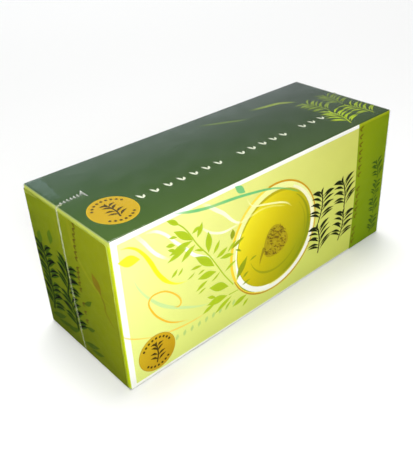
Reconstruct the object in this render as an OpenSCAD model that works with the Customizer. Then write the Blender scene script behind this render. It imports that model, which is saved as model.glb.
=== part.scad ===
// Tea carton in a tight skin of clear shrink film.
//
// A long folding carton of coated board, glued shut at both ends, where the outer flap
// lies on the end and stops short of the top and front creases. The film follows the
// carton all round. Its heat seal runs up each end as a thin bead and wraps over the top
// crease, and at the left end it runs out along the top as a crinkled tail.
//
// +X runs along the carton, -Y is the front panel and +Z is up. The origin is at the
// centre of the base. All sizes are in millimetres.

/* [Carton] */
// Length of the carton, end to end
carton_l = 175; // [110:1:260]
// Depth of the carton, front panel to back panel
carton_d = 65; // [45:1:110]
// Height of the carton
carton_h = 75; // [45:1:120]
// Outside radius of the folded creases
crease_r = 0.8; // [0.4:0.1:1.6]

/* [End flaps] */
// Thickness of the board, which is the step at the outer flap's cut edges
board_t = 0.45; // [0.3:0.05:0.8]
// Bare strip between the top crease and the outer flap
flap_top_gap = 2.2; // [1.8:0.1:8]
// Bare strip between the front crease and the outer flap
flap_front_gap = 2.2; // [1.8:0.1:8]
// Radius of the outer flap's free corner
flap_corner_r = 1.2; // [0.5:0.1:6]

/* [Film] */
// Thickness of the shrink film
film_t = 0.06; // [0.04:0.01:0.12]
// Width of the seam bead
seam_w = 1.2; // [0.8:0.1:2.5]
// Height of the seam bead above the film
seam_h = 0.3; // [0.15:0.05:0.6]
// Seam's place at the base, from the middle of the end towards the back
seam_base_y = 2.2; // [-10:0.1:10]
// Seam's place at the top crease, from the middle of the end towards the back
seam_top_y = 4.2; // [-10:0.1:10]
// Length of the seam on the top panel, past the crease
seam_wrap = 1.5; // [0.5:0.1:5]

/* [Crinkled tail] */
// Length of the tail along the top panel
tail_l = 14; // [6:0.5:25]
// Height of the tail's tallest teeth above the top panel
tail_h = 1.8; // [0.8:0.1:3]
// Thickness of the crumpled film in the tail
tail_t = 0.35; // [0.2:0.05:0.6]
// Number of teeth along the tail
tail_teeth = 8; // [4:1:12]
// Sideways swing of the crinkles
tail_wave = 0.45; // [0.2:0.05:1]
// Turn of the tail away from the carton's length, towards the back
tail_turn = 20; // [-30:1:30]

/* [Hidden] */
$fn = 48;
// The carton stands on the film, whose underside is at z = 0
carton_mid_z = film_t + carton_h / 2;
// The outer flap's sheet reaches this far in, past the crease that it folds round
flap_root = 2 * crease_r;
// Along the tail: the length of one tooth, the share of it that rises, and how much
// lower the last tooth is than the first
tooth_l = tail_l / tail_teeth;
tooth_rise = 0.6;
tail_fall = 0.45;
// The tail's foot between two teeth, as a share of its height
tooth_foot = 0.4;

// Rectangle with round corners, centred
module rounded_rect(w, h, r) {
    square([w - 2 * r, h], center = true);
    square([w, h - 2 * r], center = true);
    for (sx = [-1, 1], sy = [-1, 1])
        translate([sx * (w / 2 - r), sy * (h / 2 - r)])
            circle(r);
}

// Box with all twelve edges rounded, centred
module creased_box(l, d, h, r) {
    intersection() {
        linear_extrude(h, center = true)
            rounded_rect(l, d, r);
        rotate([90, 0, 0])
            linear_extrude(d, center = true)
                rounded_rect(l, h, r);
        rotate([90, 0, 90])
            linear_extrude(l, center = true)
                rounded_rect(d, h, r);
    }
}

// The carton's outside, grown by g on every side
module carton_envelope(g) {
    creased_box(carton_l + 2 * g, carton_d + 2 * g, carton_h + 2 * g, crease_r + g);
}

// Outline of the outer end flap, with x as the carton's y and y as its z.
// It is hinged at the base and lies flush with the back.
module flap_outline() {
    w = carton_d - flap_front_gap;
    h = carton_h - flap_top_gap;
    translate([-carton_d / 2 + flap_front_gap, -carton_h / 2]) {
        translate([flap_corner_r, 0])
            square([w - flap_corner_r, h]);
        square([w, h - flap_corner_r]);
        translate([flap_corner_r, h - flap_corner_r])
            circle(flap_corner_r);
    }
}

// Outer flap of the right end
module end_flap() {
    intersection() {
        carton_envelope(0);
        translate([carton_l / 2 - flap_root, 0, 0])
            rotate([90, 0, 90])
                linear_extrude(flap_root + 1)
                    flap_outline();
    }
}

module carton() {
    color("yellowgreen")
        translate([0, 0, carton_mid_z]) {
            creased_box(carton_l - 2 * board_t, carton_d, carton_h, crease_r);
            end_flap();
            mirror([1, 0, 0])
                end_flap();
        }
}

// Seam bead of the right end: a slanting strip of the film's outside, raised by
// seam_h, from just above the base crease up over the top crease
module seam_bead() {
    intersection() {
        carton_envelope(film_t + seam_h);
        translate([carton_l / 2 - crease_r - seam_wrap, 0, 0])
            rotate([90, 0, 90])
                linear_extrude(crease_r + seam_wrap + film_t + seam_h + 1)
                    polygon([
                        [seam_base_y - seam_w / 2, -carton_h / 2 + crease_r],
                        [seam_base_y + seam_w / 2, -carton_h / 2 + crease_r],
                        [seam_top_y + seam_w / 2, carton_h / 2 + film_t + seam_h],
                        [seam_top_y - seam_w / 2, carton_h / 2 + film_t + seam_h]
                    ]);
    }
}

// Height of tooth i of the tail above its foot line, falling towards the far end
function tooth_h(i) = tail_h * (1 - tail_fall * i / tail_teeth);

// Seen from above: a ribbon that zigzags once for each tooth
module tail_plan() {
    side = [for (i = [0:tail_teeth]) [i * tooth_l, (i % 2 == 0 ? -1 : 1) * tail_wave]];
    polygon(concat(
        [for (p = side) [p.x, p.y - tail_t / 2]],
        [for (i = [tail_teeth:-1:0]) [side[i].x, side[i].y + tail_t / 2]]
    ));
}

// Seen from the side: a row of leaning teeth on the film
module tail_profile() {
    teeth = [
        for (i = [0:tail_teeth - 1], k = [0, 1])
            k == 0
                ? [i * tooth_l, tooth_h(i) * tooth_foot]
                : [(i + tooth_rise) * tooth_l, tooth_h(i)]
    ];
    polygon(concat([[0, -film_t]], teeth, [[tail_l, -film_t]]));
}

module tail() {
    translate([-carton_l / 2 + crease_r, seam_top_y, carton_h / 2 + film_t / 2])
        rotate([0, 0, tail_turn])
            intersection() {
                translate([0, 0, -film_t])
                    linear_extrude(tail_h + 2 * film_t)
                        tail_plan();
                rotate([90, 0, 0])
                    linear_extrude(4 * (tail_wave + tail_t), center = true)
                        tail_profile();
            }
}

module film() {
    color([0.85, 0.93, 0.9, 0.4])
        translate([0, 0, carton_mid_z])
            difference() {
                union() {
                    carton_envelope(film_t);
                    seam_bead();
                    mirror([1, 0, 0])
                        seam_bead();
                    tail();
                }
                carton_envelope(0);
            }
}

carton();
film();
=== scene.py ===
"""Looks of the tea box: a shut carton of printed board in a tight skin of clear film.

Each printed sheet of board is cut into triangles along the outlines of its layers of ink, and
the corners of the triangles hold its colours. The film lies just outside the board, with a
sealed bead up each end and a crumpled tail on the top.

Sizes are in millimetres, and become metres where a mesh is made. A place on a side of the
carton is (u, v), in millimetres from that side's lower left corner, seen from outside.
"""
import math
import random

import bpy
import numpy as np
from mathutils import Matrix, Vector, noise
from mathutils.geometry import delaunay_2d_cdt


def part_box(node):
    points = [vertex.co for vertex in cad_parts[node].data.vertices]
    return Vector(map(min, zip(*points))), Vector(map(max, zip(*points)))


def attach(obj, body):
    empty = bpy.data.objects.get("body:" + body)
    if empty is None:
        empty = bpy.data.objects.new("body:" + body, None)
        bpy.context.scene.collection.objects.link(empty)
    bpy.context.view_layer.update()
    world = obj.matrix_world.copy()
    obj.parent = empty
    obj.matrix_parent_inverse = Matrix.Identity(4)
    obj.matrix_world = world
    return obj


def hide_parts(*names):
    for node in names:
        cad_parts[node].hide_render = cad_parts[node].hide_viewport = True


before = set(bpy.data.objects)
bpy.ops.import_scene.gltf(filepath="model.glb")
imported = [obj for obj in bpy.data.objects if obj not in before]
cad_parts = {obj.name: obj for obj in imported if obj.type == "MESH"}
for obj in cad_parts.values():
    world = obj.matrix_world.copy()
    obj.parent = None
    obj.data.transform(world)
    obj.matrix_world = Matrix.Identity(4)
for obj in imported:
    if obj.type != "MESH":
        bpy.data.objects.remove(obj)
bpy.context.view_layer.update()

MM = 0.001
BODY = "root"

# -------- sizes

# The carton's corners, size and middle, from the frame
CARTON_LOW, CARTON_HIGH = (np.array(corner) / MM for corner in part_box("carton"))
OUTER = CARTON_HIGH - CARTON_LOW
MIDDLE = (CARTON_LOW + CARTON_HIGH) / 2
LENGTH, DEPTH, HEIGHT = OUTER
# The carton stands on the film
FILM_T = CARTON_LOW[2]

# The creases' radius, the board's thickness, and the outer flaps' bare strips and free corner
CREASE_R = 0.8
BOARD_T = 0.45
FLAP_TOP_GAP = 2.2
FLAP_FRONT_GAP = 2.2
FLAP_CORNER_R = 1.2
# The carton's size without the outer flaps
INNER = OUTER - np.array([2 * BOARD_T, 0, 0])

# The seam's bead: its width and height, how far it lies behind the middle of the end at the
# base and at the top, and how far it reaches past the top crease
SEAM_W = 1.2
SEAM_H = 0.3
SEAM_BASE_Y = 2.2
SEAM_TOP_Y = 4.2
SEAM_WRAP = 1.5
# How milky the seam is at some heights on the end, and all along the top
SEAM_MILK_AT = (0, 12, 28, 45, 60, 75)
SEAM_MILK = (0.34, 0.32, 0.24, 0.36, 0.56, 0.7)
SEAM_MILK_TOP = 0.35

# The seam's crumpled tail: its length, its turn towards the back, and its height, number of
# teeth and swing from side to side
TAIL_TIP = 12.4
TAIL_TURN = math.radians(2)
TAIL_H = 1.8
TAIL_TEETH = 8
TAIL_WAVE = 0.45
# The tail's last fold starts after so many teeth, and is tallest after so many
TAIL_FOLD = 6
TAIL_PEAK = 7
# Heights at which the tail has a row of points, as shares of its own height
TAIL_ROWS = (0, 0.3, 0.6, 0.8, 0.93, 1)

# The gathered film on the top starts this far from the front
FOLD_START = 42

# How far the middle of each side stands proud of its creases
FRONT_BULGE = 1.0
TOP_BULGE = 0.3
END_BULGE = 0.25

# Distance between the points on flat board, on the film of the ends and on the rest of the film
BOARD_STEP = 2.5
END_FILM_STEP = 1.0
FILM_STEP = 1.6
# Degrees between the points of a printed arc
ARC_STEP = 9
# Turns of the normal at which a crease gets a row of points, from its edge to its middle
CREASE_TURNS = [math.radians(a) for a in (0, 15, 30, 45)]


# -------- sides of the box

class Side:
    """One side of a box with round edges. u runs across it and v up it, in mm from the
    carton's own edges, so the side starts at u = start where its box is the shorter one."""

    def __init__(self, across, up, size, bulge=0.0):
        self.across = np.array(across, float)
        self.up = np.array(up, float)
        self.out = np.cross(self.across, self.up)
        self.half = size / 2
        self.far = np.abs(self.out) @ self.half
        self.width = 2 * np.abs(self.across) @ self.half
        self.height = 2 * np.abs(self.up) @ self.half
        self.start = (np.abs(self.across) @ OUTER - self.width) / 2
        self.end = self.start + self.width
        self.bulge = bulge

    def place(self, uv, lift=0.0):
        """Points that lie lift mm outside the board at (u, v), and the ways out there."""
        uv = np.asarray(uv, float)
        u = uv[:, 0] - self.start - self.width / 2
        v = uv[:, 1] - self.height / 2
        # The board's surface lies CREASE_R off the nearest point of a smaller, sharp-edged core
        sharp = np.outer(u, self.across) + np.outer(v, self.up) + self.out * self.far
        core = np.clip(sharp, CREASE_R - self.half, self.half - CREASE_R)
        way = sharp - core
        way /= np.linalg.norm(way, axis=1)[:, None]
        # The bulge is highest in the middle of the side and level at its creases
        s = np.clip(2 * u / self.width, -1, 1)
        t = np.clip(2 * v / self.height, -1, 1)
        rise = self.bulge * (1 - s**4) * (1 - t**2)
        slope_u = self.bulge * -4 * s**3 * (1 - t**2) * 2 / self.width
        slope_v = self.bulge * (1 - s**4) * -2 * t * 2 / self.height
        points = core + way * (CREASE_R + np.broadcast_to(lift, len(uv)))[:, None]
        points = points + np.outer(rise, self.out) + MIDDLE
        normals = way - np.outer(slope_u, self.across) - np.outer(slope_v, self.up)
        return points, normals / np.linalg.norm(normals, axis=1)[:, None]


def sides(size):
    """The six sides of a box of that size, by name."""
    x, y, z = np.eye(3)
    return {
        "front": Side(x, z, size, FRONT_BULGE),
        "back": Side(-x, z, size, FRONT_BULGE),
        "top": Side(x, y, size, TOP_BULGE),
        "base": Side(x, -y, size),
        "left": Side(-y, z, size, END_BULGE),
        "right": Side(y, z, size, END_BULGE),
    }


# -------- shapes of ink

def rectangle(x0, y0, x1, y1):
    return [(x0, y0), (x1, y0), (x1, y1), (x0, y1)]


def whole(side):
    return rectangle(side.start, 0, side.end, side.height)


def disc(x, y, r, tall=1.0, count=48):
    turns = np.arange(count) * math.tau / count
    return [(x + r * math.cos(a), y + r * tall * math.sin(a)) for a in turns]


def curve(points, steps=6):
    """A smooth line through points (Catmull-Rom), with that many steps from each to the next."""
    p = np.array(points, float)
    p = np.vstack([2 * p[0] - p[1], p, 2 * p[-1] - p[-2]])
    line = []
    for a, b, c, d in zip(p, p[1:], p[2:], p[3:]):
        square = 2 * a - 5 * b + 4 * c - d
        cube = 3 * (b - c) + d - a
        for t in np.arange(steps) / steps:
            line.append(b + t / 2 * (c - a + t * (square + t * cube)))
    line.append(p[-2])
    return np.array(line)


def ribbon(points, widths, steps=6):
    """Outline of a stroke along a smooth line through points, with a width at each point."""
    line = curve(points, steps)
    wide = np.interp(np.linspace(0, len(points) - 1, len(line)), range(len(points)), widths)
    way = np.gradient(line, axis=0)
    way /= np.linalg.norm(way, axis=1)[:, None]
    aside = np.column_stack([-way[:, 1], way[:, 0]]) * wide[:, None] / 2
    return [*map(tuple, line - aside), *map(tuple, (line + aside)[::-1])]


def arc(x, y, r, start, end, widths):
    """Outline of a stroke along part of a circle, from one angle to another, in degrees."""
    turns = np.radians(np.linspace(start, end, 1 + int(abs(end - start) / ARC_STEP)))
    points = [(x + r * math.cos(a), y + r * math.sin(a)) for a in turns]
    widths = np.interp(np.linspace(0, 1, len(points)), np.linspace(0, 1, len(widths)), widths)
    return ribbon(points, widths, 2)


def leaf(x0, y0, x1, y1, width, bend=0.0, steps=9):
    """Outline of a leaf with its tips at two points, bowed to its left by bend."""
    start, end = np.array([x0, y0]), np.array([x1, y1])
    along = end - start
    aside = np.array([-along[1], along[0]]) / np.linalg.norm(along)
    t = np.linspace(0, 1, steps + 1)[:, None]
    middle = start + t * along + bend * np.sin(math.pi * t) * aside
    half = width / 2 * np.sin(math.pi * t) ** 1.15 * aside
    return [*map(tuple, (middle - half)[:-1]), *map(tuple, (middle + half)[:0:-1])]


def sprig(x, y, size, turn, spread, pairs, thick, reach, taper=0.02):
    """A plain sprig with its middle at (x, y): a stem, pairs of slim leaves that spread by some
    degrees from it, and a top leaf. All lengths in it are shares of its size."""
    c, s = math.cos(math.radians(turn)), math.sin(math.radians(turn))

    def turned(px, py):
        return x + size * (c * px - s * py), y + size * (s * px + c * py)

    def blade(px, py, way, length, width):
        a = math.radians(way)
        tip = turned(px + length * math.cos(a), py + length * math.sin(a))
        bow = 0.05 * size * math.copysign(1, math.cos(a))
        return leaf(*turned(px, py), *tip, width * size, bow)

    stem = [turned(-0.05, -0.5), turned(0.03, -0.1), turned(0, 0.3)]
    shapes = [ribbon(stem, [thick * size * 0.6] * len(stem))]
    for i in range(pairs):
        foot = -0.42 + 0.68 * i / (pairs - 1)
        length = reach * (1 - taper * i)
        way = spread + 9 * math.sin(2.4 * i)
        shapes.append(blade(0.02, foot, 90 - way, length, thick))
        shapes.append(blade(0.0, foot + 0.06, 90 + way, length * 0.92, thick))
    shapes.append(blade(0, 0.24, 88, 0.28, thick * 1.2))
    return shapes


def sprout(x, y, size, turn=0.0):
    """Two small leaves that part from one foot, with their middle at (x, y)."""
    lean = math.radians(84 + turn)
    foot = x - size / 2 * math.cos(lean), y - size / 2 * math.sin(lean)
    shapes = []
    for way, length in ((104, 1.0), (52, 0.8)):
        a = math.radians(way + turn)
        tip = foot[0] + size * length * math.cos(a), foot[1] + size * length * math.sin(a)
        shapes.append(leaf(*foot, *tip, size * 0.3, -0.05 * size, 5))
    return shapes


def sprout_row(points, size, turn=0.0):
    """Sprouts along a smooth line, in groups of seven, five and three."""
    line = curve(points, 16)
    slots = [*range(7), *range(8, 13), *range(14, 17)]
    places = line[[round(slot / 16 * (len(line) - 1)) for slot in slots]]
    return [shape for u, v in places for shape in sprout(u, v, size, turn)]


# -------- layers of ink

class Ink:
    """One layer of print. Its colour (sRGB, 0 to 255) and its cover (0 to 1) are the same all
    over, or are functions of the places."""

    def __init__(self, outlines, colour, cover=1.0):
        self.outlines = outlines
        self.colour = colour
        self.cover = cover

    def over(self, under, uv):
        colour = self.colour(uv) if callable(self.colour) else np.array(self.colour, float)
        cover = self.cover(uv) if callable(self.cover) else np.full(len(uv), self.cover)
        return under + (colour - under) * cover[:, None]


def four_corners(x0, y0, x1, y1, low_left, low_right, high_left, high_right):
    """A colour that runs between one at each corner of a rectangle."""

    def colour(uv):
        s = np.clip((uv[:, :1] - x0) / (x1 - x0), 0, 1)
        t = np.clip((uv[:, 1:] - y0) / (y1 - y0), 0, 1)
        low = (1 - s) * np.array(low_left) + s * np.array(low_right)
        high = (1 - s) * np.array(high_left) + s * np.array(high_right)
        return (1 - t) * low + t * high

    return colour


def gradient(start, end, colours):
    """A colour that runs through evenly spaced colours from one point to another."""
    start, end = np.array(start, float), np.array(end, float)

    def colour(uv):
        t = (uv - start) @ (end - start) / ((end - start) @ (end - start))
        stops = np.linspace(0, 1, len(colours))
        return np.column_stack([np.interp(t, stops, channel) for channel in zip(*colours)])

    return colour


def fade(points, covers):
    """A cover that runs along a stroke, with a value at each of its points."""
    line = curve(points, 4)
    values = np.interp(np.linspace(0, len(points) - 1, len(line)), range(len(points)), covers)

    def cover(uv):
        far = ((uv[:, None] - line[None]) ** 2).sum(axis=2)
        return values[far.argmin(axis=1)]

    return cover


def stroke(points, widths, colour, covers):
    return Ink([ribbon(points, widths)], colour, fade(points, covers))


# -------- the print

PAPER = (253, 253, 248)
LEAF_GREEN = (176, 202, 28)
LEAF_ON_TEA = (152, 166, 20)
DARK_PRINT = (22, 32, 8)
BROWN_PRINT = (60, 46, 10)
WHITE_LINE = (255, 255, 246)

# The front's green band starts here
BAND_X = 148
# The middles of the cup's glass and of the tea in it
CUP_AT = (86.9, 36.5)
TEA_AT = (87.2, 36.6)

# Leaves are given by their two tips and their width, and strokes by the points along them,
# their widths there, their colour and their covers there
BRANCH_LEAVES = [
    (26.3, 72.6, 32.3, 68.2, 2.3), (29, 66.6, 38.2, 58.4, 3.4), (26.2, 64.5, 30.6, 63.3, 1.3),
    (24.6, 61.6, 29.2, 60.1, 1.9), (25.3, 59.6, 29.5, 57, 1.6), (25.6, 56.6, 38, 58.4, 3.2),
    (24.4, 53.8, 35, 56.4, 2.4), (31.3, 50.8, 39.3, 56, 2.7), (38.5, 53.4, 43.8, 50.6, 1.2),
    (38, 61.6, 42.8, 63.2, 1.8), (43.8, 64.7, 40.5, 58.6, 2.5), (46.5, 59, 45.9, 48.5, 3.6),
    (52.5, 52.1, 48.4, 46.6, 2), (56.8, 46.5, 49.9, 43.8, 2.3), (29.2, 48.8, 25.6, 45.8, 1.5),
    (31.9, 48, 29, 45.3, 1.1), (38.6, 50, 48.8, 40.2, 4.2), (35.6, 44.7, 42, 44, 1.5),
    (37.9, 42.6, 33.6, 40.8, 0.9), (39.5, 40.4, 43.4, 41.2, 1.1), (56.6, 43.6, 62.3, 47.5, 1.6),
    (52, 42.5, 60.3, 41, 2.3), (39, 38.2, 49.7, 36.9, 3.6), (37.7, 32.2, 44.6, 34.9, 1.9),
    (51.9, 35.8, 46.5, 32.9, 1.1), (38.9, 30.1, 43.6, 31.6, 1), (45.1, 30.2, 56.6, 25, 4.6),
    (43.7, 25.7, 48.8, 22.8, 1.8), (43.4, 21.4, 55.8, 20.2, 4.2), (40.6, 17.8, 48, 19.8, 2.2),
    (47.8, 13.8, 58.5, 18.5, 2.5), (54, 12.3, 58.3, 16, 1.3), (58.8, 11.4, 68.2, 13.8, 3),
    (65.5, 7.8, 69.3, 11, 1.7), (54.6, 34.2, 61.7, 37.2, 1.6),
]
# The leaves that reach over the tea
TEA_LEAVES = [
    (60.2, 54, 59.4, 48.6, 2.8), (58.5, 44, 67, 47, 1.9), (61.2, 42.7, 64.8, 40.2, 1.2),
    (61.4, 25.8, 68.6, 35.9, 3.7), (70, 32.3, 74.6, 33.3, 1.1), (65.5, 24.8, 69.3, 27, 1.3),
    (65, 20.8, 70.5, 21.8, 1.2),
]
BRANCH = [
    (32.1, 68.4), (34.4, 65.8), (36.7, 62.2), (39.6, 56.6), (42, 52.8), (46.4, 46.6),
    (49.9, 40.4), (54.2, 32.5), (59.5, 24.5),
]
SHORT_BRANCH = [(56.6, 20.1), (62.5, 19.7)]

# The flowing lines on the pale field: four white ones, a pale green and a yellow one
FIELD_STROKES = [
    ([(11.8, 72.5), (15, 68), (18, 63), (21, 59.3), (26, 54.8)],
     [1.6, 1.6, 1.5, 1.5, 1], WHITE_LINE, [0.2, 0.8, 0.95, 0.95, 0]),
    ([(16, 71.6), (21, 70.3), (25.5, 66.7), (29.5, 61.5), (33.5, 57), (38, 51.5), (43, 48),
      (49, 44.6)],
     [0.8, 1.2, 1.3, 1.4, 1.6, 1.7, 1.4, 0.8], WHITE_LINE, [0, 0.9, 0.9, 0.95, 1, 1, 0.8, 0]),
    ([(44.5, 72.8), (48, 70), (52, 66.6), (56, 63.2), (60, 58.5), (64, 55.5), (69, 54.8)],
     [1, 1.8, 1.9, 1.7, 1.3, 0.9, 0.6], WHITE_LINE, [0.1, 0.6, 0.75, 0.75, 0.8, 0.8, 0.4]),
    ([(43.8, 61.5), (46, 59.2), (48, 57.6), (52, 55.6), (56, 54.6), (62, 54.8)],
     [0.8, 1.1, 1.1, 1.1, 1.2, 0.8], WHITE_LINE, [0.3, 0.7, 0.75, 0.75, 0.8, 0.4]),
    ([(7.8, 55.5), (9.5, 50), (12, 45), (15.3, 40.3), (20, 35), (26, 30.5), (33, 26.6),
      (40, 23.3), (46, 21.7)],
     [0.4, 0.7, 0.9, 1.2, 1.7, 1.4, 1.3, 0.9, 0.5],
     (196, 232, 168), [0, 0.55, 0.6, 0.65, 0.7, 0.65, 0.65, 0.5, 0]),
    ([(4.5, 69.8), (8, 69), (11.5, 66.6), (14.5, 62.6), (17, 57.6), (19.2, 52), (22, 47.3),
      (25, 44), (29, 41.5), (34, 40.4)],
     [0.4, 0.8, 1.2, 1.6, 2.1, 2, 2.1, 1.3, 0.8, 0.4],
     (255, 250, 40), [0.1, 0.8, 0.9, 0.95, 1, 1, 1, 0.9, 0.7, 0]),
]
# The two amber lines at the field's lower left: a long one and one that curls
AMBER_STROKES = [
    ([(0, 29.8), (4, 26.6), (9, 23.8), (14, 21.6), (20, 19.8), (28, 18.3), (36, 17.6),
      (44, 17.6)],
     [0.6, 0.7, 0.6, 0.5, 0.7, 0.9, 0.8, 0.5],
     (252, 212, 78), [0.5, 0.75, 0.6, 0.5, 0.7, 0.8, 0.6, 0]),
    ([(33, 19.8), (27, 21.9), (22, 25), (17.5, 30), (14.8, 34.8), (13.6, 39.2), (15, 41.8),
      (18, 42.3), (22, 41.2), (26, 38), (28.8, 34.2), (29.4, 31.2), (28, 30), (25.8, 31)],
     [0.3, 0.7, 0.9, 0.9, 0.9, 0.8, 0.8, 0.8, 0.8, 0.8, 0.9, 0.8, 0.8, 0.4],
     (250, 196, 44),
     [0, 0.75, 0.95, 0.95, 0.95, 0.95, 0.95, 0.95, 0.9, 0.85, 0.75, 0.8, 0.8, 0.2]),
]
# The ribbon along the top of the field
BLUE_GREEN_STROKE = (
    [(30.5, 74), (34, 73), (38, 71.8), (42, 70.8), (46, 70), (50, 69.4), (54, 69), (58, 68.6),
     (64, 67.9), (72, 66.6), (80, 65.1), (87, 63.3), (94, 60.4), (100, 57.2), (105, 54)],
    [0.3, 0.9, 1.3, 1.4, 1.3, 1.2, 1.3, 1.4, 1.3, 1.2, 1.1, 0.8, 0.7, 0.9, 0.3],
    (112, 200, 128),
    [0.2, 0.55, 0.85, 0.95, 0.85, 0.6, 0.8, 0.95, 0.95, 0.95, 0.95, 0.75, 0.6, 0.5, 0],
)
# The two reflections on the tea
TEA_SHINES = [
    ([(69.3, 65), (71, 61.8), (73.6, 59.6), (78.6, 58.2), (85, 56.4), (90.7, 54.6), (95, 52.5),
      (98.2, 49.6)],
     [0.5, 0.6, 0.8, 0.9, 0.9, 0.9, 0.7, 0.4],
     (255, 254, 190), [0.2, 0.6, 0.85, 0.9, 0.9, 0.9, 0.8, 0.1]),
    ([(62, 54.8), (72, 55.7), (78.6, 56.1), (85, 55), (90.7, 52.9), (95, 51)],
     [0.9, 1, 0.9, 0.8, 0.7, 0.4], (255, 254, 190), [0.5, 0.5, 0.45, 0.4, 0.4, 0]),
]

# Arcs are given by their radius, the angles that they run from and to, their widths from end
# to end, their colour and their cover. First the rim's thin outer lines
RIM_ARCS = [
    (28.8, 95, 141, [1.1, 1.5, 1.3], (253, 222, 58), 0.75),
    (28.3, 140, 206, [1.4, 1.6, 1.4], (253, 216, 48), 0.92),
    (28.9, 203, 262, [0.7, 0.9, 0.8], (198, 152, 24), 0.95),
    (28.3, 204, 250, [0.8, 0.6, 0.4], (253, 224, 70), 0.95),
    (28.8, 258, 330, [0.8, 1.3, 1], (208, 170, 38), 0.95),
    (28.8, -32, 12, [0.8, 1.1, 0.8], (222, 176, 56), 0.85),
    (28.9, 8, 98, [0.8, 0.9, 1.1], (216, 162, 22), 0.95),
]
# Then the white glass inside them
GLASS_ARCS = [
    (25.5, 150, 208, [0.4, 0.6, 2], (255, 255, 250), 1.0),
    (26.4, 204, 262, [2.7, 2.9, 2.6], (255, 255, 248), 1.0),
    (27, 256, 334, [2.4, 2.4, 2.3], (255, 254, 246), 1.0),
    (26.7, 328, 362, [2.4, 2.3, 2.2], (255, 254, 240), 1.0),
    (26.5, -2, 62, [2.2, 2, 1], (255, 251, 216), 0.95),
    (27.9, 205, 241, [0.2, 0.7, 0.2], (160, 176, 28), 0.9),
]
# And the shades in the tea
TEA_ARCS = [
    (24.4, 40, 150, [0.4, 1.4, 0.4], (186, 172, 18), 0.8),
    (23.2, -75, 52, [0.5, 2.2, 0.5], (132, 147, 14), 0.55),
    (17.6, 200, 330, [0.2, 1.3, 1.1, 0.2], (146, 155, 14), 0.6),
    (20.8, -40, 40, [0.2, 0.9, 0.2], (136, 148, 14), 0.35),
]
# The heap of wet leaves in the tea: its outline, its stalk, its middle, and its leaves' tones
# and number
HEAP = [
    (79.3, 32), (79.6, 37), (82, 42), (85.5, 44.3), (89.5, 43.4), (92.5, 39.5), (95.2, 36),
    (95.7, 31.5), (92, 28.2), (87, 27.1), (81.5, 28.6),
]
HEAP_STALK = (
    [(79.6, 35), (78.2, 32), (77, 29), (76.4, 25.7)],
    [2.2, 1.6, 1, 0.4], (150, 132, 16), [0.8, 0.8, 0.7, 0],
)
HEAP_AT = (87.4, 35.6)
HEAP_TONES = [(196, 176, 34), (140, 114, 14), (106, 84, 12)]
HEAP_LEAVES = 150

# The two strokes on the top
TOP_STROKES = [
    ([(122, 52.3), (128, 51), (134, 49.7), (140, 48.6), (144, 46.5), (147, 44.3), (149.5, 42.2)],
     [1, 1.9, 2.1, 2.2, 2, 1.6, 0.8], (150, 170, 12), [0, 0.7, 0.9, 0.95, 0.9, 0.7, 0]),
    ([(89, 57), (95, 54.5), (100, 51.8), (105, 49.3), (110, 46.6), (117, 43.6)],
     [0.6, 1.4, 1.8, 1.8, 1.8, 0.6], (118, 142, 14), [0, 0.6, 0.7, 0.7, 0.65, 0]),
]
# The thin lines on the ends, and the leaves high up and low down
END_STROKES = [
    ([(22, 74), (25, 66), (26, 58), (24, 52)],
     [0.4, 0.8, 0.9, 0.4], (176, 180, 30), [0, 0.45, 0.45, 0]),
    ([(36, 74), (36, 66), (38, 58), (42, 52.5), (48, 47), (56, 43.5), (64, 44)],
     [2, 2.4, 2, 1.8, 1.6, 1.2, 0.6], (178, 180, 26), [0.5, 0.55, 0.4, 0.5, 0.5, 0.35, 0]),
    ([(52.5, 46), (55, 41), (55, 37), (58, 33), (61, 30.5)],
     [1.2, 1.1, 1, 0.9, 0.5], (136, 112, 12), [0.3, 0.5, 0.5, 0.4, 0]),
]
END_HIGH_LEAVES = [
    (16, 51.5, 17.8, 60, 4.4), (5.2, 47.5, 7.6, 55, 4.6), (20, 43, 26, 51, 3.4),
]
END_LOW_LEAVES = [
    (30, 5.5, 44, 10, 3), (36, 4.5, 47, 7.5, 2.4), (2, 6, 17, 12, 3.4), (7, 5.2, 22, 9, 2.6),
    (17, 5.5, 28, 11, 3), (35, 17, 43, 20, 2.4), (37, 31, 44.5, 36.5, 2.4),
]

# Sprigs are given by their middle, their size, their turn, and how far their leaves spread
FRONT_SPRIGS = [
    (120.4, 40.6, 19.5, -6, 70), (138.6, 41, 19.5, 10, 64),
    (119.6, 21.6, 19.5, 8, 64), (138.8, 21.4, 19.5, -8, 70),
]
BAND_SPRIGS = [
    (167.6, 43.5, 12, 14, 62), (167.6, 31.5, 10, -10, 62),
    (167.2, 21, 11, 12, 62), (167.6, 8.8, 10.5, -10, 62),
]
END_SPRIGS = [
    (8, 38.6, 20, 6, 66), (26.2, 38.6, 20, -10, 62),
    (7.8, 20, 20, -8, 62), (26, 19.6, 20, 10, 66),
]
# Those on the top each have a colour and a cover too. Their colours hold painted shade: darker towards
# the back and the right, as on the top's green
TOP_SPRIGS = [
    ((151.4, 30.8, 17, 12, 68), (148, 172, 12), 0.92),
    ((166, 31, 16.5, -8, 62), (132, 156, 14), 0.92),
    ((149.6, 13, 18.5, -12, 62), (184, 210, 8), 0.98),
    ((165.4, 13, 18, 8, 68), (164, 188, 10), 0.96),
]


def strokes(rows):
    return [stroke(*row) for row in rows]


def leaves(rows, bend=0.0):
    return [leaf(*row, bend) for row in rows]


def arcs(middle, rows):
    return [Ink([arc(*middle, r, start, end, widths)], colour, cover)
            for r, start, end, widths, colour, cover in rows]


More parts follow.
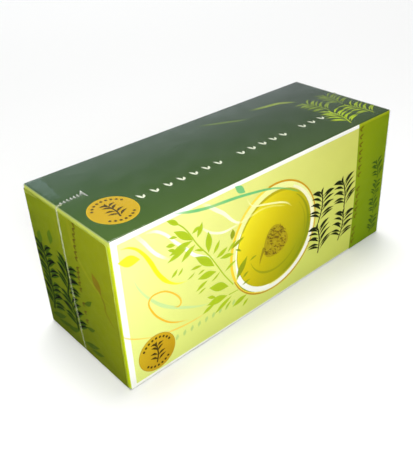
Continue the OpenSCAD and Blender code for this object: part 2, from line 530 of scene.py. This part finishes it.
def badge(x, y, r, gold, edge, tall=1.0):
    """A gold disc with a ring of dots and a sprig."""
    ring = 0.79 * r
    dots = [disc(x + ring * math.cos(a), y + ring * tall * math.sin(a), 0.066 * r, count=10)
            for a in np.radians([*range(30, 151, 15), *range(225, 316, 15)])]
    return [
        Ink([disc(x, y, r, tall)], edge),
        Ink([disc(x, y, r * 0.97, tall)], gold),
        Ink(dots, BROWN_PRINT, 0.85),
        Ink(sprig(x, y, 1.2 * r, 0, 62, 4, 0.1, 0.42, taper=0.08), BROWN_PRINT, 0.9),
    ]


def tea():
    """The tea's surface, with a thin dark edge, lighter at the upper left."""
    shade = gradient((67, 52), (107, 19),
                     [(250, 236, 44), (229, 211, 22), (208, 193, 12), (187, 181, 10), (150, 162, 8)])
    return [
        Ink([disc(*TEA_AT, 25.2, count=72)], (200, 188, 28)),
        Ink([disc(*TEA_AT, 24.7, count=72)], shade),
        *arcs(TEA_AT, TEA_ARCS),
    ]


def heap():
    """The wet leaves in the tea, strewn over a round patch in three tones."""
    outline = [tuple(point) for point in curve([*HEAP, HEAP[0]], 3)[:-1]]
    ink = [Ink([outline], (178, 158, 20), 0.85)]
    chance = random.Random(3)
    bits = []
    for _ in range(HEAP_LEAVES):
        a, far = chance.uniform(0, math.tau), math.sqrt(chance.random())
        x = HEAP_AT[0] + 7.5 * far * math.cos(a) * (1 - 0.25 * far * math.sin(a))
        y = HEAP_AT[1] + 8 * far * math.sin(a)
        way, length = math.radians(chance.gauss(-34, 26)), chance.uniform(1.4, 3.4)
        dx, dy = length / 2 * math.cos(way), length / 2 * math.sin(way)
        width = chance.uniform(0.5, 0.9)
        bits.append((leaf(x - dx, y - dy, x + dx, y + dy, width, 0.2, 4), chance.random()))
    for tone, colour in enumerate(HEAP_TONES):
        picked = [shape for shape, pick in bits if int(pick * len(HEAP_TONES)) == tone]
        ink.append(Ink(picked, colour, 0.75))
    ink.append(stroke(*HEAP_STALK))
    return ink


def cup():
    """A glass cup of tea seen from above, with its rim and the leaves in it."""
    rim = Ink([disc(*CUP_AT, 28.7, count=72)], (250, 252, 170), 0.9)
    return [rim, *arcs(CUP_AT, RIM_ARCS), *arcs(CUP_AT, GLASS_ARCS), *tea(), *heap()]


def front_branch():
    """The branch of leaves, with a blue-green ribbon and a leaf behind it."""
    stems = [ribbon(BRANCH, [0.6] * len(BRANCH)), ribbon(SHORT_BRANCH, [0.6, 0.4])]
    return [
        stroke(*BLUE_GREEN_STROKE),
        Ink([leaf(62.8, 73.4, 68.6, 68.4, 3.4)], (122, 202, 132), 0.95),
        Ink(stems, LEAF_GREEN, 0.95),
        Ink(leaves(BRANCH_LEAVES, 0.25), LEAF_GREEN, 0.93),
        Ink(leaves(TEA_LEAVES, 0.25), LEAF_ON_TEA, 0.93),
    ]


def front_band(side):
    """The green band at the right, with a column of brown sprouts and four dark sprigs."""
    # Painted shade: the band's own green is painted lighter at the top and the left and darker at the
    # right, following the light's falloff
    shade = four_corners(BAND_X, 0, 175, 75,
                         (136, 166, 0), (122, 152, 0), (151, 169, 4), (135, 158, 2))
    ink = [
        Ink([rectangle(BAND_X, 0, side.end, side.height)], shade),
        Ink([rectangle(BAND_X, 73.4, side.end, side.height)], (172, 182, 24), 0.7),
        Ink(sprout_row([(150.7, 72), (150.9, 38), (150.7, 5)], 3.6, -90), (112, 86, 8), 0.75),
        Ink([ribbon([(172.4, 8), (172.7, 30), (172.4, 56)], [0.7, 0.8, 0.7])], (150, 170, 20), 0.5),
    ]
    for place in BAND_SPRIGS:
        ink.append(Ink(sprig(*place, pairs=5, thick=0.1, reach=0.52), (52, 84, 14), 0.8))
    return ink


def front_print(side):
    """A pale panel with a cup of tea and a branch, a green band at the right and a white border."""
    field = [(3.3, 2.1), (60, 1.6), (BAND_X, 1.1), (BAND_X, 73), (60, 72.9), (3.3, 72.4)]
    # Painted shade: the field's pale print is painted lighter at the upper left and darker towards the
    # lower right, standing in for the light's falloff across the side
    shade = four_corners(3, 2, BAND_X, 73,
                         (229, 238, 136), (219, 227, 105), (255, 255, 168), (217, 219, 109))
    small_leaves = [leaf(u - 0.5, 12.2, u + 0.5, 15.4, 1.8, steps=4) for u in np.arange(26, 62, 4.2)]
    ink = [
        Ink([field], shade),
        *strokes(FIELD_STROKES),
        Ink([leaf(2.5, 64.6, 12.5, 61.8, 5)], (255, 250, 52)),
        *strokes(AMBER_STROKES),
        Ink(small_leaves, (185, 215, 125), 0.8),
        *cup(),
        *strokes(TEA_SHINES),
        *front_branch(),
        *front_band(side),
    ]
    for place in FRONT_SPRIGS:
        ink.append(Ink(sprig(*place, pairs=7, thick=0.074, reach=0.54), DARK_PRINT, 0.95))
    gold = four_corners(5, 3, 25, 22, (204, 168, 24), (196, 154, 20), (214, 182, 36), (212, 170, 26))
    return ink + badge(15.2, 12.4, 9.6, gold, (190, 152, 18))


def top_print(side):
    """Dark green, with a badge, a row of small white sprouts, two strokes and four sprigs."""
    # Painted shade: the dark green is painted lighter at the front left and darker towards the back
    # and the right, standing in for the light's falloff over the top
    shade = four_corners(0, 0, 175, 65, (70, 102, 26), (52, 76, 34), (38, 74, 34), (28, 48, 34))
    ink = [
        Ink([whole(side)], shade),
        *strokes(TOP_STROKES),
        Ink(sprout_row([(28.6, 19.2), (141, 19)], 4.2), (240, 242, 222), 0.95),
    ]
    for place, colour, cover in TOP_SPRIGS:
        ink.append(Ink(sprig(*place, pairs=8, thick=0.058, reach=0.53), colour, cover))
    return ink + badge(14.6, 18.2, 10.2, (206, 169, 14), (226, 190, 26), tall=1.08)


def end_print(side):
    """Olive with painted shade, darker at the base and towards the left, with sprigs, faint leaves,
    thin lines and a column of sprouts.
    """
    # Painted shade: the olive darkens towards the base and the left edge
    shade = four_corners(0, 0, side.width, side.height,
                         (105, 124, 3), (142, 154, 3), (154, 172, 8), (170, 177, 8))
    # A painted highlight: a pale wedge at the top left corner, where the top crease catches the light
    painted_corner_highlight = [(0, 70.8), (4.5, 71.6), (12, 72.3), (12, side.height), (0, side.height)]
    column = [(40.8, 72.4), (39.2, 65), (38.4, 57), (37.9, 50), (37.2, 43), (37.2, 34), (37.6, 22)]
    ink = [
        Ink([whole(side)], shade),
        Ink([painted_corner_highlight], (214, 222, 124), 0.6),
        Ink(leaves(END_HIGH_LEAVES), (66, 118, 20), 0.5),
        Ink([leaf(48.6, 53.4, 53.6, 45, 5)], (150, 104, 12), 0.55),
        Ink(leaves(END_LOW_LEAVES, -0.6), (52, 88, 10), 0.55),
        *strokes(END_STROKES),
        Ink(sprout_row(column, 3.2, -80), (104, 80, 8), 0.8),
    ]
    for place in END_SPRIGS:
        ink.append(Ink(sprig(*place, pairs=6, thick=0.15, reach=0.53), (66, 102, 8), 0.85))
        ink.append(Ink(sprig(*place, pairs=6, thick=0.05, reach=0.55), (8, 14, 6), 0.97))
    return ink


def end_strip_print(side):
    """The lighter board that shows beside the outer flap, with three lines of painted highlight at its
    top crease.
    """
    shade = gradient((0, 0), (0, side.height), [(206, 226, 2), (200, 210, 4), (229, 243, 42)])
    ink = [Ink([whole(side)], shade)]
    # Painted highlight of the top crease: a pale band, a fainter one over it, and a greyer line at the
    # very edge
    for width, colour, cover in ((2.6, (228, 238, 112), 0.92), (1.1, (206, 218, 112), 0.6),
                                 (0.6, (156, 172, 124), 0.75)):
        line = rectangle(side.start, side.height - width, side.end, side.height)
        ink.append(Ink([line], colour, cover))
    return ink


def base_print(side):
    """Plain olive with a bare white panel."""
    return [
        Ink([whole(side)], (120, 136, 20)),
        Ink([rectangle(60, 12, 115, 53)], (238, 240, 214)),
    ]


# -------- materials

# Share of the light that the film mirrors: seen square on where it is single and where it is
# folded, and seen edge on
FILM_SHINE = 0.078
FOLD_SHINE = 0.09
EDGE_SHINE = 0.7
# How late the gloss grows on the way from square on to edge on
EDGE_POWER = 5.0


def node_tree(name):
    """A new material and its empty node tree."""
    material = bpy.data.materials.new(name)
    material.use_nodes = True
    tree = material.node_tree
    tree.nodes.clear()
    return material, tree


def add(tree, kind, inputs=None, **settings):
    """A new node with its settings. Its inputs, by name or number, are values or outputs."""
    node = tree.nodes.new("ShaderNode" + kind)
    for key, value in settings.items():
        setattr(node, key, value)
    for key, value in (inputs or {}).items():
        if isinstance(value, bpy.types.NodeSocket):
            tree.links.new(value, node.inputs[key])
        else:
            node.inputs[key].default_value = value
    return node


def shown(material, tree, shader):
    """The material, with the shader as what it shows."""
    add(tree, "OutputMaterial", {"Surface": shader.outputs[0]})
    return material


def object_noise(tree, scale, detail=3.0, stretch=(1, 1, 1)):
    """Noise in the object's own space, with scale features to the metre."""
    place = add(tree, "TexCoord").outputs["Object"]
    place = add(tree, "Mapping", {"Vector": place, "Scale": stretch}).outputs[0]
    inputs = {"Vector": place, "Scale": scale, "Detail": detail}
    return add(tree, "TexNoise", inputs).outputs["Fac"]


def ranged(tree, value, low, high, start=0.3, end=0.7):
    """The value, spread over low to high as it goes from start to end."""
    return add(tree, "MapRange", {0: value, 1: start, 2: end, 3: low, 4: high}).outputs[0]


def bumped(tree, height, strength, distance, normal=None):
    """A normal that follows a height, where a height of 1 stands for that many metres."""
    inputs = {"Height": height, "Strength": strength, "Distance": distance}
    if normal is not None:
        inputs["Normal"] = normal
    return add(tree, "Bump", inputs).outputs["Normal"]


def multiply(tree, colour, shade):
    """The colour, darkened by a grey shade."""
    inputs = {0: 1, 6: colour, 7: shade}
    return add(tree, "Mix", inputs, data_type="RGBA", blend_type="MULTIPLY").outputs[2]


def printed_board():
    """Coated board: the print, uneven by a little, over fine fibres, under a satin varnish."""
    material, tree = node_tree("printed_board")
    ink = add(tree, "Attribute", attribute_name="print").outputs["Color"]
    blotch = ranged(tree, object_noise(tree, 90, 4), 0.97, 1.0)
    grain = ranged(tree, object_noise(tree, 2600, 2), 0.96, 1.0)
    colour = multiply(tree, multiply(tree, ink, blotch), grain)
    fibre = bumped(tree, object_noise(tree, 1500, 3), 0.12, 0.00003)
    shader = add(tree, "BsdfPrincipled", {
        "Base Color": colour,
        "Roughness": ranged(tree, object_noise(tree, 260, 3), 0.42, 0.56),
        "Specular IOR Level": 0.05,
        "Normal": fibre,
    })
    return shown(material, tree, shader)


def cut_board():
    """The raw edge of the board: layers of fibre, tinted by the print beside them."""
    material, tree = node_tree("cut_board")
    layers = object_noise(tree, 900, 3, (3, 0.3, 0.3))
    tones = {0: ranged(tree, layers, 0, 1), 6: (0.40, 0.47, 0.05, 1), 7: (0.60, 0.67, 0.14, 1)}
    shader = add(tree, "BsdfPrincipled", {
        "Base Color": add(tree, "Mix", tones, data_type="RGBA").outputs[2],
        "Roughness": 0.9,
        "Normal": bumped(tree, layers, 0.4, 0.00005),
    })
    return shown(material, tree, shader)


def clear_film(name, shine, tint=(1, 1, 1)):
    """Shrink film: clear, with a gloss that grows towards the edge of sight."""
    material, tree = node_tree(name)
    wave = bumped(tree, object_noise(tree, 45, 2), 0.25, 0.0004)
    ripple = bumped(tree, object_noise(tree, 260, 2, (0.3, 0.5, 1)), 0.1, 0.00004, wave)
    gloss = add(tree, "BsdfPrincipled", {
        "Base Color": (*tint, 1),
        "Metallic": 1.0,
        "Roughness": ranged(tree, object_noise(tree, 130, 3), 0.14, 0.24),
        "Normal": ripple,
    })
    clear = add(tree, "BsdfTransparent", {"Color": (0.99, 0.995, 0.985, 1)})
    facing = add(tree, "LayerWeight", {"Blend": 0.5, "Normal": ripple}).outputs["Facing"]
    steep = add(tree, "Math", {0: facing, 1: EDGE_POWER}, operation="POWER").outputs[0]
    share = ranged(tree, steep, shine, EDGE_SHINE, 0, 1)
    shader = add(tree, "MixShader", {0: share, 1: clear.outputs[0], 2: gloss.outputs[0]})
    return shown(material, tree, shader)


def sealed_film(name, colour):
    """Film that is crumpled or melted together, and so turns milky, as far as its points say."""
    material, tree = node_tree(name)
    streaks = object_noise(tree, 700, 3, (1, 1, 0.4))
    milk = add(tree, "BsdfPrincipled", {
        "Base Color": (*colour, 1),
        "Roughness": ranged(tree, streaks, 0.15, 0.35),
        "Specular IOR Level": 0.5,
        "Normal": bumped(tree, streaks, 0.4, 0.0001),
    })
    clear = add(tree, "BsdfTransparent", {"Color": (1, 1, 1, 1)})
    cloud = add(tree, "Attribute", attribute_name="milk").outputs["Fac"]
    uneven = ranged(tree, streaks, 0.7, 1.1)
    share = add(tree, "Math", {0: cloud, 1: uneven}, operation="MULTIPLY").outputs[0]
    shader = add(tree, "MixShader", {0: share, 1: clear.outputs[0], 2: milk.outputs[0]})
    return shown(material, tree, shader)


# -------- meshes

def make(name, points, faces, material, replaces, normals=None):
    """A piece from points in mm, which rides on the carton."""
    mesh = bpy.data.meshes.new(name)
    mesh.from_pydata((np.asarray(points) * MM).tolist(), [], [list(map(int, face)) for face in faces])
    mesh.shade_smooth()
    if normals is not None:
        mesh.normals_split_custom_set_from_vertices(np.asarray(normals).tolist())
    mesh.materials.append(material)
    piece = bpy.data.objects.new(name, mesh)
    bpy.context.scene.collection.objects.link(piece)
    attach(piece, BODY)
    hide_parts(replaces)
    return piece


def linear(srgb):
    """Linear light from sRGB colours of 0 to 255."""
    c = np.clip(srgb / 255, 0, 1)
    return np.where(c <= 0.04045, c / 12.92, ((c + 0.055) / 1.055) ** 2.4)


def painted(piece, layer, domain, colours):
    """Gives a piece a colour in linear light at each of its points or corners."""
    paint = piece.data.color_attributes.new(layer, "FLOAT_COLOR", domain)
    paint.data.foreach_set("color", np.column_stack([colours, np.ones(len(colours))]).ravel())
    return piece


def inside(ring, spots):
    """Which spots an outline winds round: to their right, its edges don't go up and down
    equally often."""
    ring = np.array(ring, float)
    low, high = ring.min(axis=0), ring.max(axis=0)
    near = np.flatnonzero(((spots > low) & (spots < high)).all(axis=1))
    x, y = spots[near].T
    x0, y0 = ring.T[:, :, None]
    x1, y1 = np.roll(ring, -1, axis=0).T[:, :, None]
    across = (y0 > y) != (y1 > y)
    run = np.where(y1 == y0, 1, y1 - y0)
    to_right = across & (x < x0 + (y - y0) * (x1 - x0) / run)
    winding = np.where(to_right, np.sign(y1 - y0), 0).sum(axis=0)
    found = np.zeros(len(spots), bool)
    found[near] = winding != 0
    return found


def crease_lines(start, end):
    """Where a side is cut across for the creases at its start and end."""
    offsets = [CREASE_R * (1 - math.tan(a)) for a in CREASE_TURNS]
    return [*(start + offset for offset in offsets), *(end - offset for offset in offsets)]


def cut(side, outline, ink):
    """Cuts an outlined part of a side into triangles along every outline in its print.
    Gives the places, the triangles, and for each layer of ink the triangles that it is on."""
    points, rings, edges = [], [], []
    for ring in [outline, *(ring for layer in ink for ring in layer.outlines)]:
        rings.append(list(range(len(points), len(points) + len(ring))))
        points.extend(ring)
    (u0, v0), (u1, v1) = np.min(outline, axis=0), np.max(outline, axis=0)
    lines = [((u, v0), (u, v1)) for u in crease_lines(side.start, side.end) if u0 < u < u1]
    lines += [((u0, v), (u1, v)) for v in crease_lines(0, side.height) if v0 < v < v1]
    for line in lines:
        edges.append((len(points), len(points) + 1))
        points.extend(line)
    for u in np.arange(u0 + BOARD_STEP / 2, u1, BOARD_STEP):
        for v in np.arange(v0 + BOARD_STEP / 2, v1, BOARD_STEP):
            points.append((u, v))
    places, _, triangles, _, _, _ = delaunay_2d_cdt([Vector(p) for p in points], edges, rings, 0, 1e-4)
    places = np.array([tuple(p) for p in places])
    triangles = np.array(triangles)
    triangles = triangles[inside(outline, places[triangles].mean(axis=1))]
    middles = places[triangles].mean(axis=1)
    inked = [np.any([inside(ring, middles) for ring in layer.outlines], axis=0) for layer in ink]
    return places, triangles, inked


def board_sheet(name, side, outline, ink, material):
    """A printed sheet of board on an outlined part of a side."""
    places, triangles, inked = cut(side, outline, ink)
    used, corners = np.unique(triangles, return_inverse=True)
    places = places[used]
    corners = corners.ravel()
    points, normals = side.place(places)
    piece = make(name, points, corners.reshape(-1, 3), material, "carton", normals)
    colours = np.tile(np.array(PAPER, float), (len(corners), 1))
    for layer, on in zip(ink, inked):
        on = np.repeat(on, 3)
        if on.any():
            colours[on] = layer.over(colours[on], places[corners[on]])
    return painted(piece, "print", "CORNER", linear(colours))


def quads_between(rows, n):
    """Quads between the neighbours of points that lie in rows of n."""
    return [(j * n + i, j * n + i + 1, (j + 1) * n + i + 1, (j + 1) * n + i)
            for j in range(rows - 1) for i in range(n - 1)]


def stations(end, step):
    """Where a side of the film is cut from 0 to end: at its creases, and between them with no
    step longer than step."""
    even = np.linspace(0, end, 2 + int(end / step))
    return np.unique(np.round([*even, *(x for x in crease_lines(0, end) if 0 < x < end)], 5))


def grid(width, height, step):
    """The places and the quads of a grid over a side."""
    us, vs = stations(width, step), stations(height, step)
    places = np.array([(u, v) for v in vs for u in us])
    return places, quads_between(len(vs), len(us))


def strip(rows):
    """Points and quads of a surface through rows of points, all of one length."""
    rows = np.array(rows)
    return rows.reshape(-1, 3), quads_between(*rows.shape[:2])


# -------- the carton

def flap_outline(side, front_at_left):
    """The outer flap's outline on an end, with its free corner rounded."""
    w, h, r = side.width - FLAP_FRONT_GAP, side.height - FLAP_TOP_GAP, FLAP_CORNER_R
    turns = np.radians(np.linspace(0, 90, 7))
    corner = [(w - r + r * math.cos(a), h - r + r * math.sin(a)) for a in turns]
    outline = [(0, 0), (w, 0), *corner, (0, h)]
    return [(side.width - u, v) for u, v in outline] if front_at_left else outline


def free_edge(name, side, outline, material):
    """The cut edge of the flap, from its front foot up and over to the back."""
    path = outline[1:]
    top, _ = side.place(path)
    low, _ = side.place(path, -BOARD_T)
    points, quads = strip([top, low])
    return make(name, points, quads, material, "carton")


def flap_folds(name, outer, board):
    """The outer flap's board where it goes round the end's back and base creases."""
    fold_w = CREASE_R + BOARD_T
    back, base = outer["back"], outer["base"]
    olive = gradient((0, 0), (0, back.height), [(74, 90, 9), (120, 134, 18)])
    ink = [Ink([whole(back)], olive)]
    start = 0 if name == "right" else back.width - fold_w
    outline = rectangle(start, 0, start + fold_w, back.height - FLAP_TOP_GAP)
    board_sheet(f"flap_back_{name}", back, outline, ink, board)
    start = 0 if name == "left" else base.width - fold_w
    outline = rectangle(start, 0, start + fold_w, base.height - FLAP_FRONT_GAP)
    board_sheet(f"flap_base_{name}", base, outline, ink, board)


def carton_end(name, inner, outer, board, cut_edge):
    """One end: the board under the outer flap, the flap, its cut edge and its folds."""
    side = inner[name]
    board_sheet(f"board_{name}", side, whole(side), end_strip_print(side), board)
    side = outer[name]
    outline = flap_outline(side, name == "right")
    board_sheet(f"flap_{name}", side, outline, end_print(side), board)
    free_edge(f"flap_edge_{name}", side, outline, cut_edge)
    flap_folds(name, outer, board)


def carton(board, cut_edge):
    inner, outer = sides(INNER), sides(OUTER)
    prints = {"front": front_print, "back": front_print, "top": top_print, "base": base_print}
    for name, draw in prints.items():
        side = inner[name]
        board_sheet(f"board_{name}", side, whole(side), draw(side), board)
    for name in ("left", "right"):
        carton_end(name, inner, outer, board, cut_edge)


# -------- the film

def seam_u(name, v):
    """Where the seam crosses an end at a height. It leans back, and most at its foot."""
    rise = 1 - (1 - v / HEIGHT) ** 2.5
    y = SEAM_BASE_Y + (SEAM_TOP_Y - SEAM_BASE_Y) * rise
    return DEPTH / 2 - y if name == "left" else DEPTH / 2 + y


def wrinkles(uv, along, across, lean, layer):
    """Noise from -1 to 1 at each place, stretched into wrinkles: how fast it changes to the mm
    along u and along v, how much the wrinkles lean, and which of many such noises it is."""
    return np.array([noise.noise(Vector((u * along, v * across + u * lean, layer))) for u, v in uv])


def slack(name, uv):
    """How far the film stands off the board: a little everywhere, with wrinkles beside the seam
    on the ends and at both ends of the top."""
    u = uv[:, 0]
    lift = 0.02 * np.clip(wrinkles(uv, 0.05, 0.05, 0, 3), 0, 1)
    if name in ("left", "right"):
        away = u - seam_u(name, uv[:, 1])
        ribs = wrinkles(uv, 0.06, 0.8, 0.12, 7)
        lift += 0.2 * np.clip(ribs - 0.05, 0, 1) * np.exp(-np.abs(away) / 9)
    if name == "top":
        ribs = wrinkles(uv, 0.1, 0.7, 0, 5)
        for x in (0, LENGTH):
            lift += 0.15 * np.clip(ribs, 0, 1) * np.exp(-np.abs(u - x) / 6)
    return lift


def film_skin(material):
    """The film all round the carton, slack inside each side and tight at its creases."""
    points, faces = [], []
    for name, side in sides(OUTER).items():
        step = END_FILM_STEP if name in ("left", "right") else FILM_STEP
        places, quads = grid(side.width, side.height, step)
        u, v = places.T
        inset = np.minimum(np.minimum(u, side.width - u), np.minimum(v, side.height - v))
        ease = np.clip((inset - CREASE_R) / 2, 0, 1)
        placed, _ = side.place(places, FILM_T + slack(name, places) * ease)
        faces += [[i + len(points) for i in quad] for quad in quads]
        points += placed.tolist()
    return make("film_skin", points, faces, material, "film")


def milky(piece, values):
    """Says how cloudy the film is at each point of a piece, from 0 to 1."""
    return painted(piece, "milk", "POINT", np.column_stack([values] * 3))


def seam_path(name):
    """The places along a seam, each with its side and how milky it is there: up the end, over
    the crease and along the top."""
    ends, top = sides(OUTER)[name], sides(OUTER)["top"]
    path = []
    for v in np.linspace(CREASE_R, ends.height, 110):
        path.append((ends, (seam_u(name, v), v), np.interp(v, SEAM_MILK_AT, SEAM_MILK)))
    for x in np.linspace(0.15, CREASE_R + SEAM_WRAP, 8):
        u = x if name == "left" else LENGTH - x
        path.append((top, (u, DEPTH / 2 + SEAM_TOP_Y), SEAM_MILK_TOP))
    return path


def seam(name, material):
    """The bead up one end: a low half-round ridge of uneven height."""
    chance = random.Random(11)
    turns = np.linspace(0, math.pi, 9)
    rows, cloud = [], []
    for i, (side, uv, milk) in enumerate(seam_path(name)):
        (foot,), (way,) = side.place([uv], FILM_T * 0.5)
        swell = 0.75 + 0.25 * math.sin(i * 1.9) + chance.uniform(-0.12, 0.12)
        high = SEAM_H * swell * min(1, (i + 1) / 4)
        wide = SEAM_W / 2 * (1.1 + 0.3 * swell)
        rows.append([foot + [0, wide * math.cos(a), 0] + way * high * math.sin(a) for a in turns])
        cloud += [milk * (0.35 + 0.65 * math.sin(a)) for a in turns]
    points, quads = strip(rows)
    return milky(make(f"film_seam_{name}", points, quads, material, "film"), cloud)


def tail_shape(t):
    """The tail after t teeth: how far along it is, its height, its bend to the back, and how
    milky its top edge is."""
    knots = [TAIL_FOLD, TAIL_PEAK, TAIL_TEETH]
    along = np.interp(t, [0, *knots], [0, TAIL_TIP - 2.8, TAIL_TIP - 1.5, TAIL_TIP])
    if t < TAIL_FOLD:
        part = t % 1
        crest = min(part / 0.55, (1 - part) / 0.45)
        return along, TAIL_H * (0.12 + (0.5 + 0.04 * t) * crest), TAIL_WAVE * (crest - 0.5), 1
    tall = TAIL_H * np.interp(t, knots, [0.12, 1.2, 0.12])
    bend = np.interp(t, knots, [-0.2, 0.5, -1.9])
    return along, tall, bend, 1 if t < TAIL_PEAK + 0.15 else 0.55


def tail(material):
    """The loose end of the seam: crumpled film that zigzags along the top in leaning teeth, and
    ends in one larger fold that comes to a point."""
    top = sides(OUTER)["top"]
    per_tooth = 8
    c, s = math.cos(TAIL_TURN), math.sin(TAIL_TURN)
    rows, cloud = [[] for _ in TAIL_ROWS], [[] for _ in TAIL_ROWS]
    for i in range(TAIL_TEETH * per_tooth + 1):
        t = i / per_tooth
        along, tall, bend, most = tail_shape(t)
        clear = 2.5 if t < TAIL_FOLD else 1.2
        for row, milk, share in zip(rows, cloud, TAIL_ROWS):
            x = along + 0.4 * share**1.5
            y = bend * (1 + 0.4 * share)
            place = (CREASE_R + x * c - y * s, DEPTH / 2 + SEAM_TOP_Y + x * s + y * c)
            row.append(top.place([place], FILM_T * 0.5 + tall * share)[0][0])
            milk.append(most * (0.1 + 0.9 * share**clear))
    points, quads = strip(rows)
    return milky(make("film_tail", points, quads, material, "film"), np.ravel(cloud))


def fold(material):
    """A second layer of film at the back of the top, where the left end's spare film is tucked."""
    top = sides(OUTER)["top"]
    rows = []
    for v in np.linspace(FOLD_START, DEPTH - CREASE_R, 24):
        reach = 5.2 + 2.6 * (v - FOLD_START) / 22 + 0.4 * math.sin(0.9 * v)
        places = np.array([(u, v) for u in np.linspace(0.4, reach, 8)])
        rows.append(top.place(places, FILM_T + slack("top", places) + 0.05)[0])
    points, quads = strip(rows)
    return make("film_fold", points, quads, material, "film")


# -------- the stage

# Where the camera stands and looks, in mm, and how far it is tilted about its own axis; its
# lens in mm, and how far the picture is shifted across and up
CAMERA_AT = Vector((-180.8, -200.4, 198.0))
CAMERA_LOOKS_AT = Vector((-5.3, -7.4, 37.5))
CAMERA_ROLL = math.radians(-1.84)
CAMERA_LENS = 47.58
CAMERA_SHIFT = (-0.0494, -0.033)

# How far the floor reaches on each side, in metres
FLOOR_REACH = 3.0


def add_camera():
    data = bpy.data.cameras.new("camera")
    data.lens = CAMERA_LENS
    data.shift_x, data.shift_y = CAMERA_SHIFT
    data.clip_start = 0.01
    ahead = (CAMERA_LOOKS_AT - CAMERA_AT).normalized()
    level = ahead.cross(Vector((0, 0, 1))).normalized()
    upright = level.cross(ahead)
    c, s = math.cos(CAMERA_ROLL), math.sin(CAMERA_ROLL)
    right = c * level + s * upright
    up = -s * level + c * upright
    camera = bpy.data.objects.new("camera", data)
    turn = Matrix((right, up, -ahead)).transposed().to_4x4()
    camera.matrix_world = Matrix.Translation(CAMERA_AT * MM) @ turn
    bpy.context.scene.collection.objects.link(camera)
    bpy.context.scene.camera = camera


def area_light(name, at, aim, size, power, colour=(1, 1, 1)):
    """A soft light of a width and a height, which faces a point. All its places are in metres."""
    data = bpy.data.lights.new(name, "AREA")
    data.shape = "RECTANGLE"
    data.size, data.size_y = size
    data.energy = power
    data.color = colour
    lamp = bpy.data.objects.new(name, data)
    lamp.location = at
    lamp.visible_camera = False
    lamp.rotation_euler = (Vector(aim) - Vector(at)).to_track_quat("-Z", "Y").to_euler()
    bpy.context.scene.collection.objects.link(lamp)


def add_floor():
    mesh = bpy.data.meshes.new("floor")
    corners = [(x, y, 0) for x, y in rectangle(-FLOOR_REACH, -FLOOR_REACH, FLOOR_REACH, FLOOR_REACH)]
    mesh.from_pydata(corners, [], [(0, 1, 2, 3)])
    material, tree = node_tree("floor")
    shader = add(tree, "BsdfDiffuse", {"Color": (0.93, 0.93, 0.925, 1)})
    mesh.materials.append(shown(material, tree, shader))
    floor = bpy.data.objects.new("floor", mesh)
    floor.visible_glossy = False
    bpy.context.scene.collection.objects.link(floor)


def add_world():
    """Light from all round above the floor, and hardly any from below."""
    world = bpy.data.worlds.new("studio")
    world.use_nodes = True
    tree = world.node_tree
    way = add(tree, "TexCoord").outputs["Generated"]
    up = add(tree, "SeparateXYZ", {0: way}).outputs["Z"]
    background = tree.nodes["Background"]
    background.inputs["Color"].default_value = (1, 1, 1, 1)
    tree.links.new(ranged(tree, up, 0.02, 0.22, -0.1, 0.1), background.inputs["Strength"])
    bpy.context.scene.world = world


# -------- the scene

bpy.context.scene.view_settings.view_transform = "Standard"
add_camera()
add_world()
middle = Vector(MIDDLE) * MM
area_light("overhead", at=(0.5, 0.8, 3.5), aim=middle, size=(2, 2), power=100)
area_light("key", at=(-0.2, -0.28, 0.25), aim=middle, size=(0.14, 0.14), power=1.05)
area_light("behind", at=(0.75, 0.95, 0.44), aim=(0.75, 0, 0.44), size=(1.7, 0.28), power=1.4,
           colour=(0.88, 0.97, 1.0))
add_floor()
carton(printed_board(), cut_board())
film_skin(clear_film("clear_film", FILM_SHINE))
fold(clear_film("folded_film", FOLD_SHINE, (0.75, 0.95, 0.95)))
seal = sealed_film("sealed_film", (0.8, 0.85, 0.5))
seam("left", seal)
seam("right", seal)
tail(sealed_film("crumpled_film", (0.9, 0.9, 0.86)))
